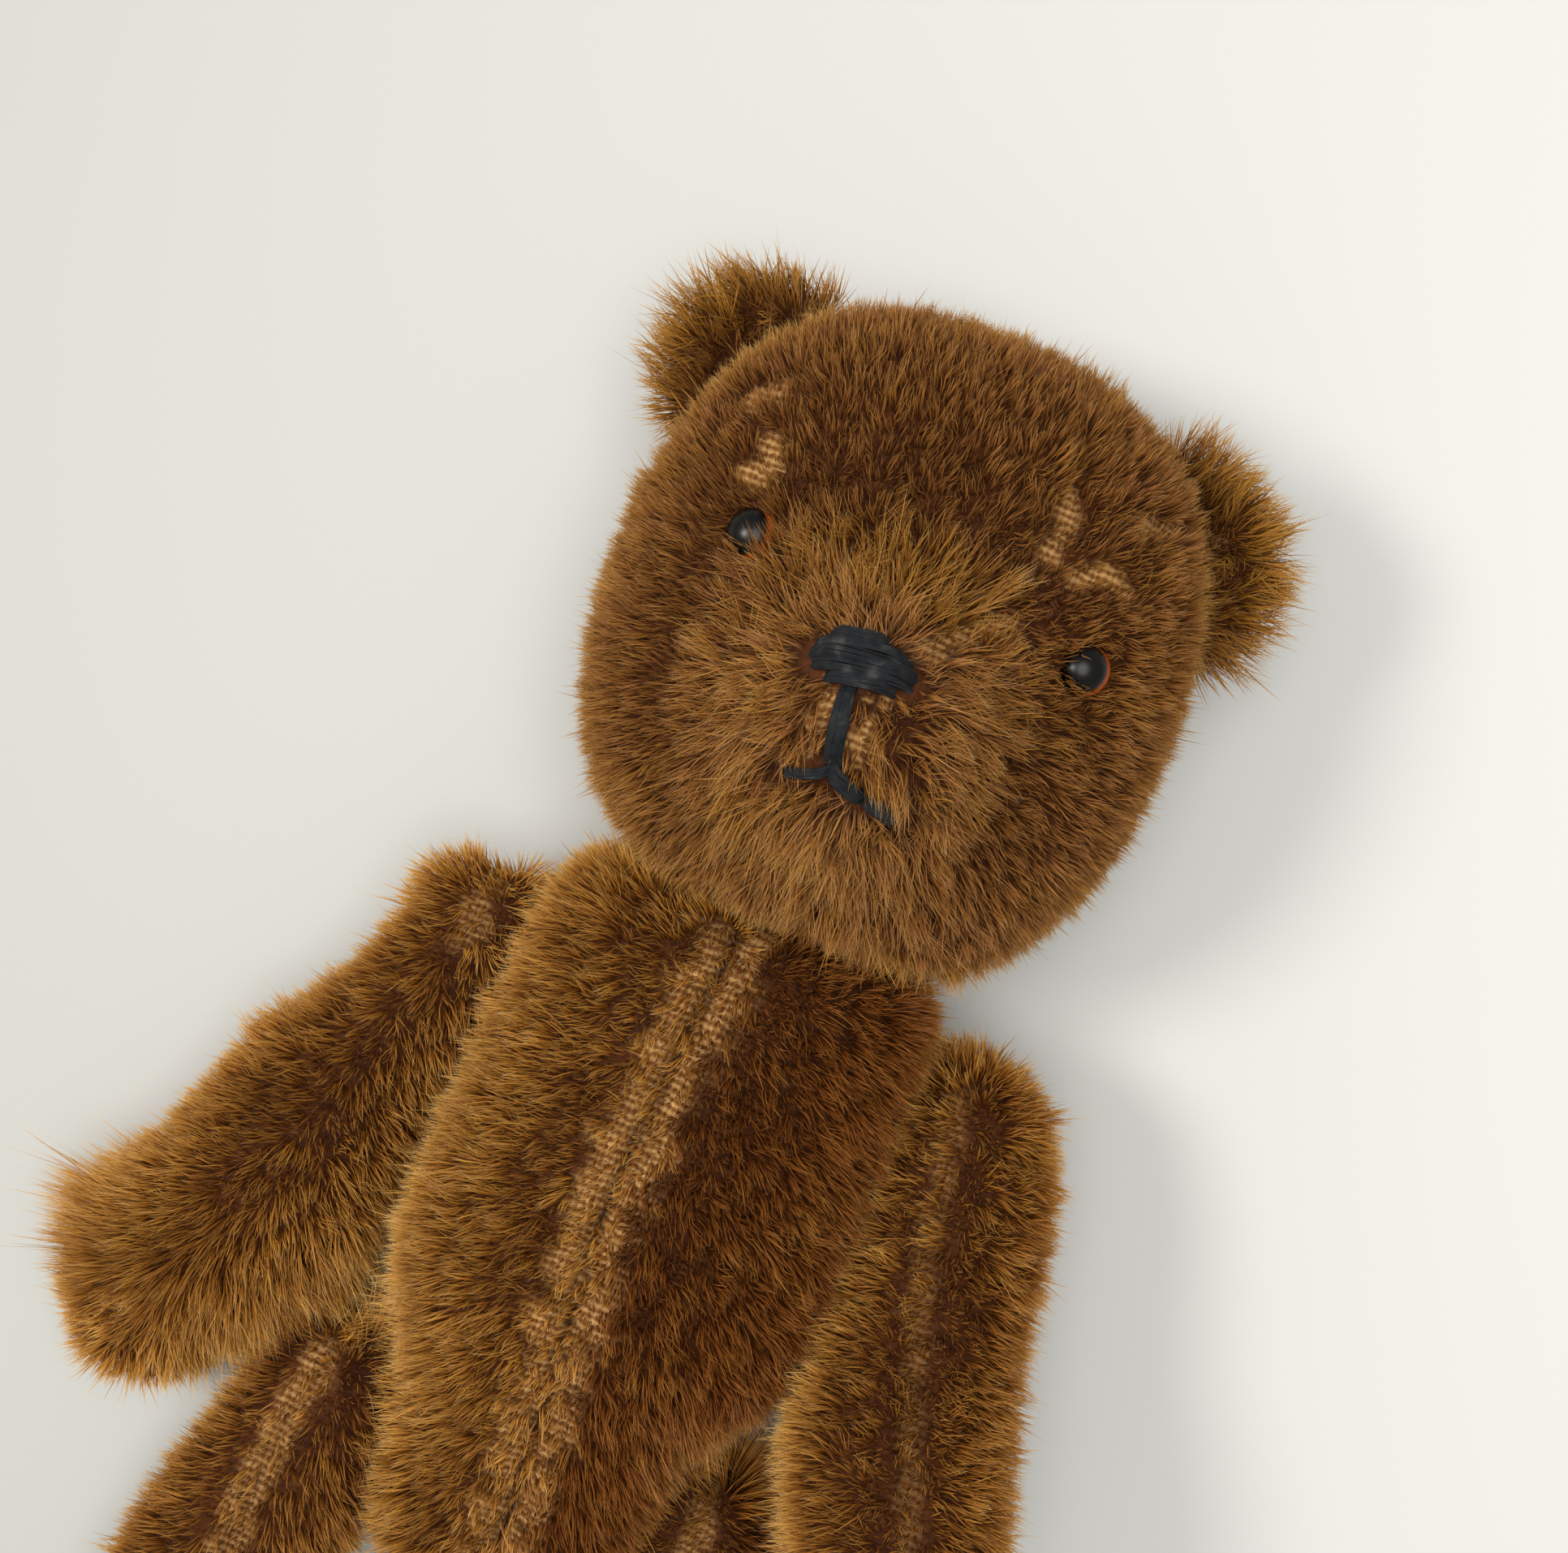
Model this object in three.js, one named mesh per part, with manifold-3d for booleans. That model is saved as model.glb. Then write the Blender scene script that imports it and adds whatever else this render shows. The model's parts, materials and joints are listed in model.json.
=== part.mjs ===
// A small jointed mohair bear, understuffed and lying on its back.
// Millimetres. +Y runs from the feet to the head, +Z from the back to the belly, and +X is the
// bear's own left side. Every place below is measured from the neck, at table height, and the
// whole bear is moved at the end so that its origin is under the middle of its box.
import * as THREE from "three";
import { mergeVertices } from "three/addons/utils/BufferGeometryUtils.js";
import Module from "manifold-3d";

const wasm = await Module();
wasm.setup();

// ---------------------------------------------------------------- driving dimensions
const CLOTH = 1.2; // plush with its turned-in seam allowance
const SLACK = 0.4; // room between a cover and the stuffing in it
const TOUCH = 0.3; // gap between pieces that lie against each other
const BOX_CENTRE = [-3.478, -28.65]; // middle of the bear's box, from the neck

const HEAD = {
  half: [21.3, 23.7, 17],
  centre: [0.7, 21.5, 15.5],
  squareness: 2.5,
  base: -0.6, // the flat that the neck disc pulls tight
};
const MUZZLE = { half: [9.9, 10.4, 14], centre: [0.4, 14.6, 26] };
const EAR = { thick: 2.4, cup: 2.6, lip: 1.4, edge: 0.5, spread: 0.35, height: 15.5 };
const EARS = {
  left: { radius: 7.4, centre: 21.1, angle: 38.5 }, // polar place about the middle of the head
  right: { radius: 6.7, centre: 22, angle: 42 },
};
const EYE = {
  radius: 1.8,
  dome: 1.5,
  shank: 3,
  wire: 0.5,
  hole: 0.9,
  spare: 1.4, // how much longer the hole is than the shank
  places: { left: [13.7, 24], right: [-11.9, 24.1] },
};

// Stuffed tubes. Tables start with the distance down the tube. `girth` is the half width, `depth`
// its share for the half height, `line` the tube's middle (across, height), and `seat` the half
// width at which the limbs' discs press the sides flat. A limb's `line` starts at its own seat.
const SQUARENESS = 2.4;
const BODY = {
  top: 1.4,
  neckSeat: -1.2, // where the neck disc presses the top end flat
  length: 64.4,
  girth: [[0, 15], [10, 16.2], [34, 16.8], [40.6, 14.6], [49.6, 11.5], [64.4, 7.6]],
  depth: 0.8,
  caps: [8, 16],
  line: [[0, -0.8, 12.4], [32, -0.8, 12.2], [42, -2.1, 11.6], [64.4, -2.1, 11.2]],
  seat: [[0, 15.1], [38.2, 15.1], [42.5, 9.4]],
};

const ARM = { top: -5.2, length: 47, caps: [4.8, 9], depth: 1.04 };
const ARM_LEFT = {
  ...ARM,
  girth: [[0, 5.6], [6, 6.7], [12, 7], [19, 6.5], [28, 7.9], [33, 8.7], [37.5, 6.8], [47, 5.6]],
  line: [[0, 4, 12.4], [6, 5.2, 12.8], [12, 6.5, 14.4], [20, 7.4, 17], [33, 8.9, 21.6], [37.5, 12, 23.2], [47, 12, 26]],
};
const ARM_RIGHT = {
  ...ARM,
  length: 49.2,
  depth: 0.92,
  girth: [[0, 5.8], [11, 5.9], [20, 7.4], [28, 8.9], [34, 9], [41, 6.9], [49.2, 6.1]],
  line: [[0, 3.5, 12], [7, 3.8, 11.4], [11, 5, 10.8], [20, 9.5, 9], [28, 10.9, 8.8], [34, 12.7, 8.8], [41, 16.9, 7.3], [49.2, 18.4, 7]],
};

const LEG = { top: -42.4, length: 60.1, caps: [6, 6] };
const LEG_LEFT = {
  ...LEG,
  girth: [[0, 6], [8, 6.1], [26, 6], [40, 7], [50, 6], [60, 5.8]],
  depth: 1.1,
  line: [[0, 4.7, 9.8], [6, 4.8, 9.6], [26, 5.4, 7.4], [40, 8, 7.4], [60, 9, 7]],
};
const LEG_RIGHT = {
  ...LEG,
  girth: [[0, 6.4], [8, 6.9], [22, 7.3], [36, 7.2], [50, 6], [60, 5.8]],
  depth: 1,
  line: [[0, 4.8, 9.8], [8, 5.2, 9.6], [22, 9, 7.6], [36, 10, 7.4], [60, 10.4, 7]],
};
const FOOT = { half: [6.4, 7.6, 10.6], from: 51.6, height: 11.8, sole: -103 };

// Each disc joint: its place, the way its pin runs into the head or limb, and its disc's radius.
const JOINTS = {
  neck: { at: [0.3, -0.9, 13.2], into: [0, 1, 0], disc: 4.4 },
  arm_left: { at: [14.6, -10.6, 12.6], into: [1, 0, 0], disc: 2.6 },
  arm_right: { at: [-16.2, -10.6, 11.8], into: [-1, 0, 0], disc: 2.6 },
  leg_left: { at: [7.6, -48.5, 10], into: [1, 0, 0], disc: 2.6 },
  leg_right: { at: [-11.8, -48.5, 10], into: [-1, 0, 0], disc: 2.6 },
};
const DISC = { thick: 1, hole: 0.9, from: 1.9 };
const WASHER = { radius: 2, thick: 0.4, hole: 0.8, from: 3.05 };
const PIN = { radius: 0.55, from: -4.8, to: 4.4, loop: 0.95, wire: 0.38, curl: 0.8 };
const PIN_HOLE = { radius: 1, deep: 5 };
const POCKET = { disc: 3.3, pin: 6.7 }; // how deep a joint reaches into the stuffing

const FACE_GAP = 0.15; // between the face's threads and the cloth
const NOSE = { rows: 5, pitch: 0.72, thread: 0.62, lengths: [5.2, 6.4, 6.7, 6.4, 5.4], at: [-0.9, 18.2] };
const MOUTH = {
  thread: 0.6,
  stitches: [
    [[-0.9, 15.9], [-1.2, 13.4], [-1.1, 10.6]],
    [[-1.1, 10.6], [-2.7, 10.1], [-4.1, 9.7]],
    [[-1.1, 10.6], [0.9, 9.0], [3.9, 8.6]],
  ],
};

// ---------------------------------------------------------------- materials
const finish = (color, roughness, metalness = 0) =>
  new THREE.MeshStandardMaterial({ color, roughness, metalness });
const mohair = finish(0x7a4a1c, 0.95);
const woodWool = finish(0xc9ad74, 0.95);
const card = finish(0xa08a68, 0.9);
const steel = finish(0x8d8a84, 0.4, 1);
const glass = finish(0x8a3f10, 0.1);
const floss = finish(0x23262a, 0.8);

// ---------------------------------------------------------------- geometry helpers
/** A closed geometry as a solid that can be cut and joined. */
function solid(geometry) {
  const bare = new THREE.BufferGeometry().setIndex(geometry.index);
  bare.setAttribute("position", geometry.getAttribute("position"));
  const merged = mergeVertices(bare, 1e-4);
  const made = new wasm.Manifold(
    new wasm.Mesh({
      numProp: 3,
      vertProperties: new Float32Array(merged.attributes.position.array),
      triVerts: new Uint32Array(merged.index.array),
    }),
  );
  return made;
}

/** A solid back as a named mesh. */
function piece(name, made, material) {
  const { vertProperties, triVerts } = made.getMesh();
  const geometry = new THREE.BufferGeometry();
  geometry.setAttribute("position", new THREE.BufferAttribute(vertProperties, 3));
  geometry.setIndex(new THREE.BufferAttribute(triVerts, 1));
  geometry.computeVertexNormals();
  const mesh = new THREE.Mesh(geometry, material);
  mesh.name = name;
  return mesh;
}

/** Moves each vertex of a geometry by a function that changes it in place. */
function reshape(geometry, change) {
  const position = geometry.getAttribute("position");
  const vertex = new THREE.Vector3();
  for (let i = 0; i < position.count; i++) {
    vertex.fromBufferAttribute(position, i);
    change(vertex);
    position.setXYZ(i, vertex.x, vertex.y, vertex.z);
  }
  return geometry;
}

/** The row of a table at s, eased between the table's rows. Each row starts with its own s. */
function along(table, s) {
  const last = table.length - 1;
  if (s <= table[0][0]) return table[0].slice(1);
  if (s >= table[last][0]) return table[last].slice(1);
  const i = table.findIndex((row) => row[0] > s);
  const [low, high] = [table[i - 1], table[i]];
  const t = THREE.MathUtils.smoothstep(s, low[0], high[0]);
  const mix = (t + (s - low[0]) / (high[0] - low[0])) / 2;
  return low.slice(1).map((value, k) => THREE.MathUtils.lerp(value, high[k + 1], mix));
}

/** How full a tube is at s: 1 along it, falling to 0 over a rounded cap at each end. */
function fullness(s, length, [start, end]) {
  const cap = (far) => (1 - Math.max(0, far) ** SQUARENESS) ** (1 / SQUARENESS);
  return cap(1 - s / start) * cap(1 - (length - s) / end);
}

/** Scales a point out from the round unit ball, or circle, to the squarer one. */
function squarer(v, squareness) {
  const size = v.toArray().reduce((sum, x) => sum + Math.abs(x) ** squareness, 0);
  return size > 0 ? v.multiplyScalar(v.length() / size ** (1 / squareness)) : v;
}

/** A stuffed tube down -Y, its parts in the tables above. `inset` makes it smaller all over. */
function stuffedTube({ top, length, girth, depth, caps, line, seat }, inset, around, steps) {
  const inner = length - 2 * inset;
  const profile = [];
  for (let i = 0; i <= steps; i++) {
    const s = (inner * (1 + Math.cos((Math.PI * i) / steps))) / 2;
    const tip = i === 0 || i === steps;
    profile.push(new THREE.Vector2(tip ? 0 : fullness(s, inner, caps), top - inset - s));
  }
  return reshape(new THREE.LatheGeometry(profile, around), (v) => {
    const s = top - v.y;
    const [half] = along(girth, s);
    const [x, z] = along(line, s);
    const flat = seat ? along(seat, s)[0] - inset : Infinity;
    const section = squarer(new THREE.Vector2(v.x, v.z), SQUARENESS);
    v.x = x + THREE.MathUtils.clamp(section.x * (half - inset), -flat, flat);
    v.z = Math.max(inset, z + section.y * (half * depth - inset));
  });
}

/** A rounded block with superellipse sections: a squareness of 2 is an ellipsoid. */
function plumpBlock({ half, centre, squareness = 2 }, inset, around, steps) {
  return reshape(new THREE.SphereGeometry(1, around, steps), (v) => {
    squarer(v, squareness);
    v.multiply(new THREE.Vector3(...half.map((x) => x - inset)));
    v.add(new THREE.Vector3(...centre));
  });
}

const cylinder = (radius, length, around) => new THREE.CylinderGeometry(radius, radius, length, around);

/** A flat ring about Y from y = from to from + thick. */
function ring(radius, hole, from, thick, around) {
  const outline = new THREE.Shape().absarc(0, 0, radius, 0, 2 * Math.PI);
  outline.holes.push(new THREE.Path().absarc(0, 0, hole, 0, 2 * Math.PI, true));
  const options = { depth: thick, bevelEnabled: false, curveSegments: around };
  const geometry = new THREE.ExtrudeGeometry(outline, options);
  return geometry.rotateX(-Math.PI / 2).translate(0, from, 0);
}

/** Carries a geometry made about +Y to a joint: its place, with +Y turned into the limb. */
function atJoint(geometry, { at, into }) {
  const turn = new THREE.Quaternion().setFromUnitVectors(
    new THREE.Vector3(0, 1, 0),
    new THREE.Vector3(...into),
  );
  return geometry.applyQuaternion(turn).translate(...at);
}

// ---------------------------------------------------------------- soft forms
/** The body at an inset. */
function bodyForm(inset, around, steps) {
  return solid(reshape(stuffedTube(BODY, inset, around, steps), (v) => {
    v.y = Math.min(BODY.neckSeat - inset, v.y);
  }));
}

/** The head at an inset: a plump block and the muzzle, flat at the back and at the neck. */
function headForm(inset, around, steps) {
  const skull = reshape(plumpBlock(HEAD, inset, around, steps), (v) => {
    v.y = Math.max(HEAD.base + inset, v.y);
    v.z = Math.max(inset, v.z);
  });
  const muzzle = plumpBlock(MUZZLE, inset, Math.round(around * 0.7), Math.round(steps * 0.7));
  return solid(skull).add(solid(muzzle));
}

/** A limb at an inset: its tube, with its inner side pressed flat on the body's. */
function limbTube(shape, joint, inset, around, steps) {
  const side = joint.into[0];
  const seat = joint.at[0] + side * TOUCH;
  const line = shape.line.map(([s, out, z]) => [s, seat + side * out, z]);
  return reshape(stuffedTube({ ...shape, line }, inset, around, steps), (v) => {
    v.x = side * Math.max(side * seat + inset, side * v.x);
  });
}

/** A leg's foot, which stands up from the end of the leg on its flat sole. */
function footBlock(shape, joint, inset, around, steps) {
  const side = joint.into[0];
  const [out] = along(shape.line, FOOT.from);
  const x = joint.at[0] + side * (TOUCH + out);
  const block = { half: FOOT.half, centre: [x, shape.top - FOOT.from, FOOT.height] };
  return reshape(plumpBlock(block, inset, around, steps), (v) => {
    v.y = Math.max(FOOT.sole + inset, v.y);
    v.z = Math.max(inset, v.z);
  });
}

const LIMBS = {
  arm_left: (...size) => solid(limbTube(ARM_LEFT, JOINTS.arm_left, ...size)),
  arm_right: (...size) => solid(limbTube(ARM_RIGHT, JOINTS.arm_right, ...size)),
  leg_left: (...size) => legForm(LEG_LEFT, JOINTS.leg_left, ...size),
  leg_right: (...size) => legForm(LEG_RIGHT, JOINTS.leg_right, ...size),
};

function legForm(shape, joint, ...size) {
  return solid(limbTube(shape, joint, ...size)).add(solid(footBlock(shape, joint, ...size)));
}

// ---------------------------------------------------------------- disc joints
/** What a joint's cover is pierced by. */
const pinHole = (joint) => solid(atJoint(cylinder(PIN_HOLE.radius, PIN_HOLE.deep, 8), joint));

/** The hollow in the stuffing on one side of a joint: `way` is 1 in the limb and -1 in the body. */
function pocket(joint, way) {
  const hollow = (radius, deep) =>
    solid(atJoint(cylinder(radius + SLACK, deep, 12).translate(0, (way * deep) / 2, 0), joint));
  return hollow(joint.disc, POCKET.disc).add(hollow(WASHER.radius, POCKET.pin));
}

/** A card disc with a pin hole, inside the limb (way 1) or the body (way -1). */
function cardDisc(name, joint, way) {
  const from = way > 0 ? DISC.from : -DISC.from - DISC.thick;
  return piece(name, solid(atJoint(ring(joint.disc, DISC.hole, from, DISC.thick, 6), joint)), card);
}

function washer(name, joint, way) {
  const from = way > 0 ? WASHER.from : -WASHER.from - WASHER.thick;
  return piece(name, solid(atJoint(ring(WASHER.radius, WASHER.hole, from, WASHER.thick, 5), joint)), steel);
}

/** A cotter pin: its eye in the limb, its shaft through both discs, its two legs curled in the body. */
function cotterPin(name, joint) {
  const { radius, from, to, loop, wire, curl } = PIN;
  const shaft = cylinder(radius, to - from, 6).translate(0, (from + to) / 2, 0);
  const eye = new THREE.TorusGeometry(loop, wire, 4, 7).translate(0, to + loop - wire, 0);
  const legs = [-curl, curl].map((x) => new THREE.TorusGeometry(curl, wire, 4, 7).translate(x, from, 0));
  const parts = [shaft, eye, ...legs].map((part) => solid(atJoint(part, joint)));
  return piece(name, parts.reduce((all, part) => all.add(part)), steel);
}

/** Everything that turns with a limb at its joint, but for the limb itself. */
function limbHardware(name, joint) {
  return [
    cardDisc(`${name}_limb_disc`, joint, 1),
    washer(`${name}_limb_washer`, joint, 1),
    washer(`${name}_body_washer`, joint, -1),
    cotterPin(`${name}_cotter_pin`, joint),
  ];
}

// ---------------------------------------------------------------- face
/** A point `lift` out from the muzzle's cloth over a place on it. */
function overMuzzle([x, y], lift) {
  const [cx, cy, cz] = MUZZLE.centre;
  const [hx, hy, hz] = MUZZLE.half;
  const [dx, dy] = [(x - cx) / hx, (y - cy) / hy];
  const dz = Math.sqrt(1 - dx ** 2 - dy ** 2);
  const out = new THREE.Vector3(dx / hx, dy / hy, dz / hz).normalize();
  return new THREE.Vector3(x, y, cz + hz * dz).addScaledVector(out, lift);
}

/** A thread laid on the muzzle through places on it. */
function threadOn(places, radius) {
  const path = new THREE.CatmullRomCurve3(places.map((place) => overMuzzle(place, radius + FACE_GAP)));
  const section = new THREE.Shape().absarc(0, 0, radius, 0, 2 * Math.PI);
  return solid(new THREE.ExtrudeGeometry(section, { extrudePath: path, steps: 4, curveSegments: 3 }));
}

/** The nose: satin stitches side by side across the end of the muzzle, touching their neighbours. */
function noseStitching() {
  const [x, y] = NOSE.at;
  const rows = NOSE.lengths.map((length, i) => {
    const across = y + (i - (NOSE.rows - 1) / 2) * NOSE.pitch;
    const places = [-0.5, 0, 0.5].map((t) => [x + t * length, across]);
    return threadOn(places, NOSE.thread);
  });
  return rows.reduce((all, row) => all.add(row));
}

/** The mouth: one upright stitch and two that leave its foot. */
function mouthStitching() {
  const stitches = MOUTH.stitches.map((places) => threadOn(places, MOUTH.thread));
  return stitches.reduce((all, stitch) => all.add(stitch));
}

/** A blown glass eye with its wire shank, made about +Y with the dome up. */
function glassEye() {
  const { radius, dome, shank, wire } = EYE;
  const profile = [new THREE.Vector2(0, -shank), new THREE.Vector2(wire, -shank)];
  profile.push(new THREE.Vector2(wire, 0), new THREE.Vector2(radius, 0));
  const steps = 5;
  for (let i = 1; i < steps; i++) {
    const turn = (Math.PI / 2) * (i / steps);
    profile.push(new THREE.Vector2(radius * Math.cos(turn), dome * Math.sin(turn)));
  }
  profile.push(new THREE.Vector2(0, dome));
  return new THREE.LatheGeometry(profile, 14);
}

/** Where an eye sits on the head, and the way out of the cloth there. */
function eyeSeat([x, y]) {
  const [cx, cy, cz] = HEAD.centre;
  const [hx, hy, hz] = HEAD.half;
  const n = HEAD.squareness;
  const rest = 1 - Math.abs((x - cx) / hx) ** n - Math.abs((y - cy) / hy) ** n;
  const rise = rest ** (1 / n);
  const slope = (d, h) => (Math.sign(d) * Math.abs(d / h) ** (n - 1)) / h;
  const out = new THREE.Vector3(slope(x - cx, hx), slope(y - cy, hy), rise ** (n - 1) / hz).normalize();
  const place = new THREE.Vector3(x, y, cz + hz * rise).addScaledVector(out, TOUCH);
  return { at: place.toArray(), into: out.toArray() };
}

/** A cupped half-round ear, cut to sit on the head. */
function ear(side) {
  const { thick, cup, lip, edge, spread, height } = EAR;
  const { radius, centre, angle } = side > 0 ? EARS.left : EARS.right;
  const outline = new THREE.Shape().absarc(0, 0, radius, -spread, Math.PI + spread);
  const options = {
    depth: thick - 2 * edge,
    bevelThickness: edge,
    bevelSize: edge,
    bevelSegments: 1,
    curveSegments: 9,
  };
  const flat = new THREE.ExtrudeGeometry(outline, options).translate(0, 0, height);
  const turn = side > 0 ? (angle - 90) * (Math.PI / 180) : (90 - angle) * (Math.PI / 180);
  const way = side > 0 ? angle : 180 - angle;
  const x = HEAD.centre[0] + centre * Math.cos((way * Math.PI) / 180);
  const y = HEAD.centre[1] + centre * Math.sin((way * Math.PI) / 180);
  const shape = solid(flat.rotateZ(turn).translate(x, y, 0));
  const scoop = { half: [radius - lip, radius - lip, cup], centre: [0, edge, height + thick + edge] };
  const hollow = plumpBlock(scoop, 0, 14, 8);
  const scooped = shape.subtract(solid(hollow.rotateZ(turn).translate(x, y, 0)));
  return scooped.subtract(headForm(-TOUCH, 24, 16));
}

// ---------------------------------------------------------------- the bear
const bear = new THREE.Group();
const cutAll = (made, cuts) => cuts.reduce((left, cut) => left.subtract(cut), made);

function addBody() {
  const joints = Object.values(JOINTS);
  const cover = bodyForm(0, 24, 15).subtract(bodyForm(CLOTH, 16, 11));
  bear.add(piece("body_cover", cutAll(cover, joints.map(pinHole)), mohair));
  const pockets = joints.map((joint) => pocket(joint, -1));
  bear.add(piece("body_stuffing", cutAll(bodyForm(CLOTH + SLACK, 16, 11), pockets), woodWool));
  for (const [name, joint] of Object.entries(JOINTS)) bear.add(cardDisc(`${name}_body_disc`, joint, -1));
}

function addHead() {
  const seats = Object.entries(EYE.places).map(([side, place]) => [side, eyeSeat(place)]);
  const shanks = seats.map(([, seat]) => solid(atJoint(cylinder(EYE.hole, 2 * EYE.shank + EYE.spare, 8), seat)));
  const cover = headForm(0, 24, 16).subtract(headForm(CLOTH, 16, 11));
  bear.add(piece("head_cover", cutAll(cover, [pinHole(JOINTS.neck), ...shanks]), mohair));
  const stuffing = headForm(CLOTH + SLACK, 16, 11);
  bear.add(piece("head_stuffing", cutAll(stuffing, [pocket(JOINTS.neck, 1), ...shanks]), woodWool));
  for (const [side, seat] of seats) {
    bear.add(piece(`eye_${side}`, solid(atJoint(glassEye(), seat)), glass));
  }
  bear.add(piece("ear_left", ear(1), mohair), piece("ear_right", ear(-1), mohair));
  bear.add(piece("nose_stitching", noseStitching(), floss));
  bear.add(piece("mouth_stitching", mouthStitching(), floss));
  bear.add(...limbHardware("neck", JOINTS.neck));
}

function addLimb(name) {
  const form = LIMBS[name];
  const joint = JOINTS[name];
  const cover = form(0, 14, 12).subtract(form(CLOTH, 11, 10));
  bear.add(piece(`${name}_cover`, cover.subtract(pinHole(joint)), mohair));
  const stuffing = form(CLOTH + SLACK, 11, 10);
  bear.add(piece(`${name}_stuffing`, stuffing.subtract(pocket(joint, 1)), woodWool));
  bear.add(...limbHardware(name, joint));
}

addBody();
addHead();
Object.keys(LIMBS).forEach(addLimb);
bear.position.set(-BOX_CENTRE[0], -BOX_CENTRE[1], 0);

export default bear;
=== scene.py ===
# %% [markdown]
# # A small worn mohair bear
# A jointed toy bear lies on its back on a pale table. Its covers are sewn from mohair plush: a
# woven cotton backing with a dense pile of fine goat hair. The CAD solids give the places and the
# joints, and this script gives the cloth, the pile, the threads and the light.

# %% Load the frame
import json
import math

import bmesh
import bpy
import numpy as np
from mathutils import Matrix, Vector
from mathutils.bvhtree import BVHTree


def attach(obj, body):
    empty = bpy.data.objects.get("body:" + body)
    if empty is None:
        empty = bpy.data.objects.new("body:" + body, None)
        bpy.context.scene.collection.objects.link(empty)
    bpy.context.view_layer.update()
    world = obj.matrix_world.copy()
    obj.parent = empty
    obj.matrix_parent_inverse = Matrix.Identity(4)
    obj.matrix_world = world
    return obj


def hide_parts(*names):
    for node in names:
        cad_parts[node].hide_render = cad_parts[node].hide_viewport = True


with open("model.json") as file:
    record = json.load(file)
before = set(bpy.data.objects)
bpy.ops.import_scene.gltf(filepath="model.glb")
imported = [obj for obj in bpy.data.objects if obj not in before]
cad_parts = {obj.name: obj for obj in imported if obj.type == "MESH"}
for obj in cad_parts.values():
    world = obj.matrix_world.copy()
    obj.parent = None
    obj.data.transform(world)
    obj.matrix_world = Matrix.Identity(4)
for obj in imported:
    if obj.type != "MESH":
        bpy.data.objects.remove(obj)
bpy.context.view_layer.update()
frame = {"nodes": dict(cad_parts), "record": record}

MM = 0.001
joints = {joint["name"]: joint for joint in frame["record"]["behaviour"]["joints"]}
# The neck is the zero for every place below, in millimetres: +Y to the crown, +Z to the belly.
NECK = np.array(joints["neck_turn"]["pos_m"]) - np.array((0.3, -0.9, 13.2)) * MM

# %% [markdown]
# ## Places
# Everything is easier to think about in millimetres from the neck, so two small functions turn
# such places into Blender's metres and back. They work on a single place or on thousands at once.

# %% Places in millimetres from the neck
def to_frame(places):
    return np.asarray(places, float) * MM + NECK


def from_frame(places):
    return (np.asarray(places, float) - NECK) / MM


def unit(vectors):
    return vectors / np.maximum(np.linalg.norm(vectors, axis=-1, keepdims=True), 1e-9)


def ease(value, low, high):
    """0 below low, 1 above high, and smooth between them."""
    t = np.clip((value - low) / (high - low), 0, 1)
    return t * t * (3 - 2 * t)


# %% [markdown]
# ## Colours and nodes
# Paint and dye colours are usually written as sRGB hex values, and shaders want linear numbers.
# One function does that sum. A second adds any node with its settings and its links, so that each
# material below reads as a short list of what it is made of.

# %% Colour and node helpers
def dye(code):
    """An sRGB hex colour such as "8a5a2b" as linear red, green, blue and alpha."""
    values = [int(code[i : i + 2], 16) / 255 for i in (0, 2, 4)]
    return [v / 12.92 if v <= 0.04045 else ((v + 0.055) / 1.055) ** 2.4 for v in values] + [1.0]


def add(tree, kind, settings=None, **links):
    """Adds a node. settings are its properties. links name its inputs, each with a value or a
    socket; an input that shares its name with others goes by number, such as i6 for the seventh.
    """
    node = tree.nodes.new(kind)
    for name, value in (settings or {}).items():
        setattr(node, name, value)
    for name, value in links.items():
        key = int(name[1:]) if name[0] == "i" and name[1:].isdigit() else name.replace("_", " ")
        if isinstance(value, bpy.types.NodeSocket):
            tree.links.new(value, node.inputs[key])
        else:
            node.inputs[key].default_value = value
    return node


def ramp(tree, factor, stops):
    """A colour ramp. stops are places from 0 to 1 and their hex colours."""
    node = add(tree, "ShaderNodeValToRGB", Fac=factor)
    while len(node.color_ramp.elements) < len(stops):
        node.color_ramp.elements.new(0.5)
    for element, (place, code) in zip(node.color_ramp.elements, stops):
        element.position = place
        element.color = dye(code)
    return node.outputs["Color"]


def new_material(name):
    """An empty material: its node tree and its shader, with nothing linked yet."""
    material = bpy.data.materials.new(name)
    material.use_nodes = True
    return material, material.node_tree, material.node_tree.nodes["Principled BSDF"]


# %% [markdown]
# ## Mohair pile
# Mohair is a smooth, lustrous goat hair. This one was dyed a warm brown and has faded at the tips,
# so every strand is dark brown where it leaves the cloth and straw-coloured at its end.
# The strands carry a UV map: across is how golden the strand is, and up is how far along it a
# place lies. The whole colour is read from that map, so it follows every strand. The head's dye
# has faded greyer than the body's, so there are two materials. How golden a strand is also carries
# painted light and shade, set in the pile's fields below.

# %% Material: dyed mohair pile
def make_pile_material(name, brown, gold):
    material, tree, shader = new_material(name)
    place = add(tree, "ShaderNodeUVMap", {"uv_map": "OFBake"})
    split = add(tree, "ShaderNodeSeparateXYZ", Vector=place.outputs["UV"])
    tone, along = split.outputs["X"], split.outputs["Y"]
    colour = add(
        tree, "ShaderNodeMix", {"data_type": "RGBA"},
        i0=tone, i6=ramp(tree, along, brown), i7=ramp(tree, along, gold),
    ).outputs[2]
    tree.links.new(colour, shader.inputs["Base Color"])
    shader.inputs["Roughness"].default_value = 0.55
    shader.inputs["Specular IOR Level"].default_value = 0.25
    shader.inputs["IOR"].default_value = 1.55  # keratin
    return material


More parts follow.
